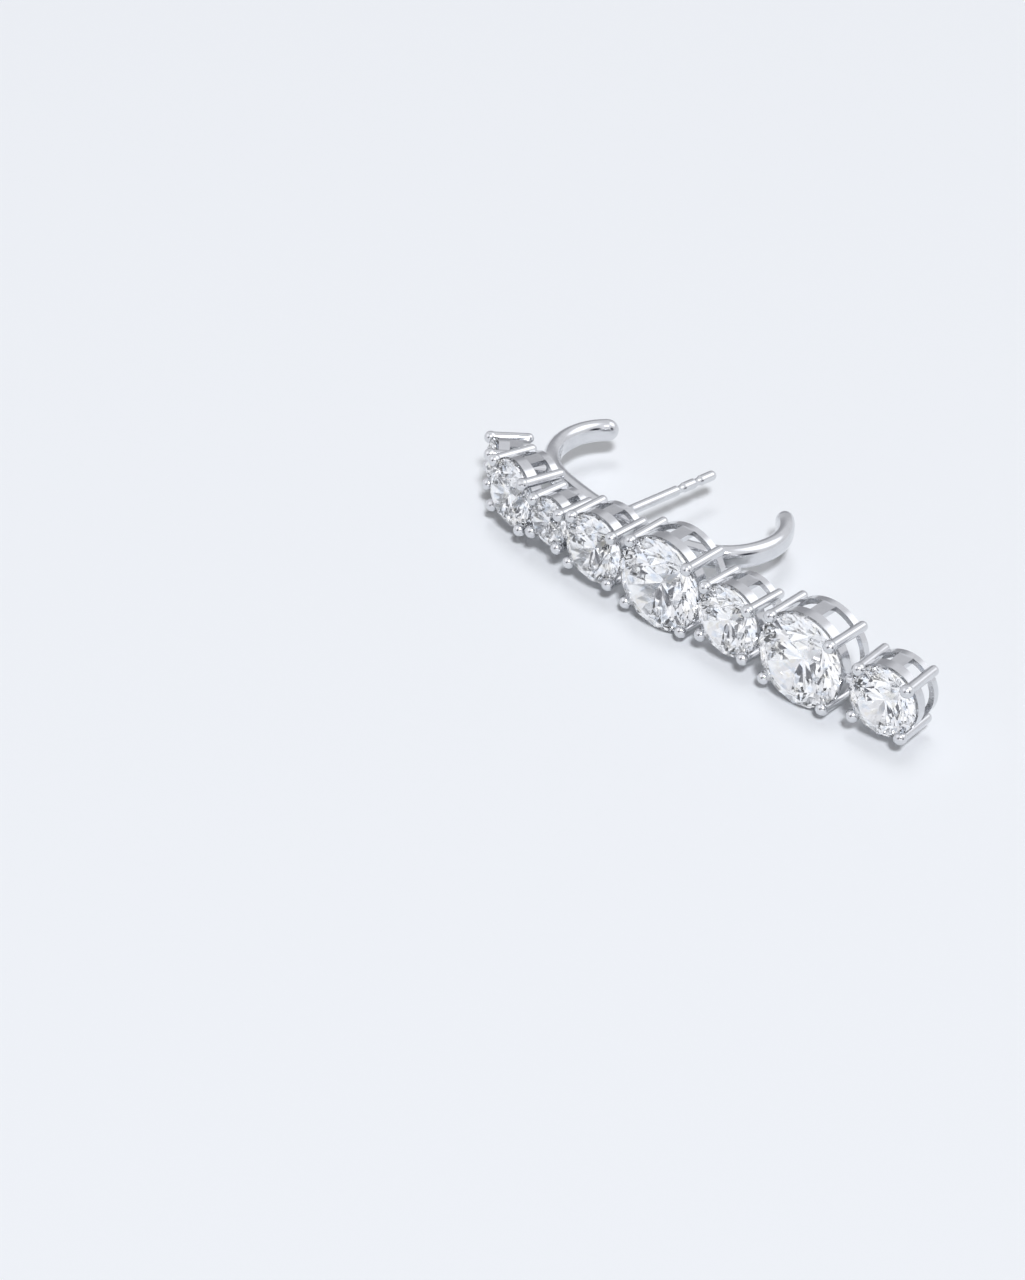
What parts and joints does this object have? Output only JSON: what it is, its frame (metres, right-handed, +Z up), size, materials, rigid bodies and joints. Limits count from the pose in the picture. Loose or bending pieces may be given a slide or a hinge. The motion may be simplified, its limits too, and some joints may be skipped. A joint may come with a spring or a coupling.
{
  "type": "ear climber earring",
  "caption": "Ear climber: graduated round clear stones in pierced prong heads along an open ear hook with a notched post.",
  "frame": {"origin": "middle of the bottom of the piece as it lies on its side", "axes": "+X along the row of stones toward its lower end, -Y out of the stones' tables, +Y out of the hook's opening, +Z up"},
  "size_m": [0.0528, 0.0194, 0.0089],
  "materials": {
    "polished_metal": "mirror polished silver-tone plating",
    "clear_stone": "colourless cut and polished cubic zirconia"
  },
  "bodies": {
    "root": {"climber_frame": "polished_metal", "stone_1": "clear_stone", "stone_2": "clear_stone", "stone_3": "clear_stone", "stone_4": "clear_stone", "stone_5": "clear_stone", "stone_6": "clear_stone", "stone_7": "clear_stone", "stone_8": "clear_stone"}
  },
  "joints": []
}
